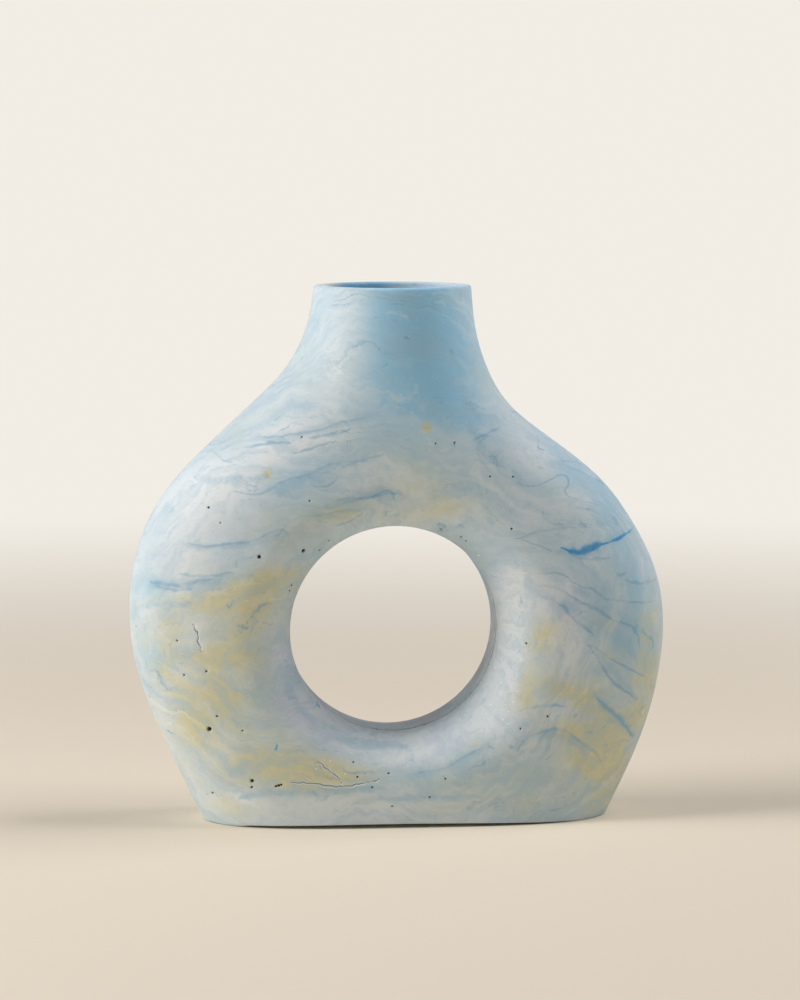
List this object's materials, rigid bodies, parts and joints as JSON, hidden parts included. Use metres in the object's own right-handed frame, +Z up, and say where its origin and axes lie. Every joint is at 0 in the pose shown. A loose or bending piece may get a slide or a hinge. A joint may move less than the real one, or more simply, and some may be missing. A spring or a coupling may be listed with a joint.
{
  "type": "donut vase",
  "caption": "Flat bottle-shaped vase in pale marbled casting, with a round hole through its body, a short round neck and a long oval foot.",
  "frame": {"origin": "on the table under the sole, midway between the widest points, on the middle plane", "axes": "+X along the width to the right in front view, +Y from front to back through the hole, +Z up to the rim"},
  "size_m": [0.2028, 0.059, 0.2015],
  "materials": {
    "marbled_casting": "matt cast mineral plaster, marbled in pale blue, grey green, straw yellow and lilac",
    "bonding_slip": "matt grey mineral adhesive",
    "clear_sealer": "thin satin water sealing film, brushed on"
  },
  "bodies": {
    "root": {"front_shell": "marbled_casting", "back_shell": "marbled_casting", "seam_bond": "bonding_slip", "sealing_film": "clear_sealer"}
  },
  "joints": []
}
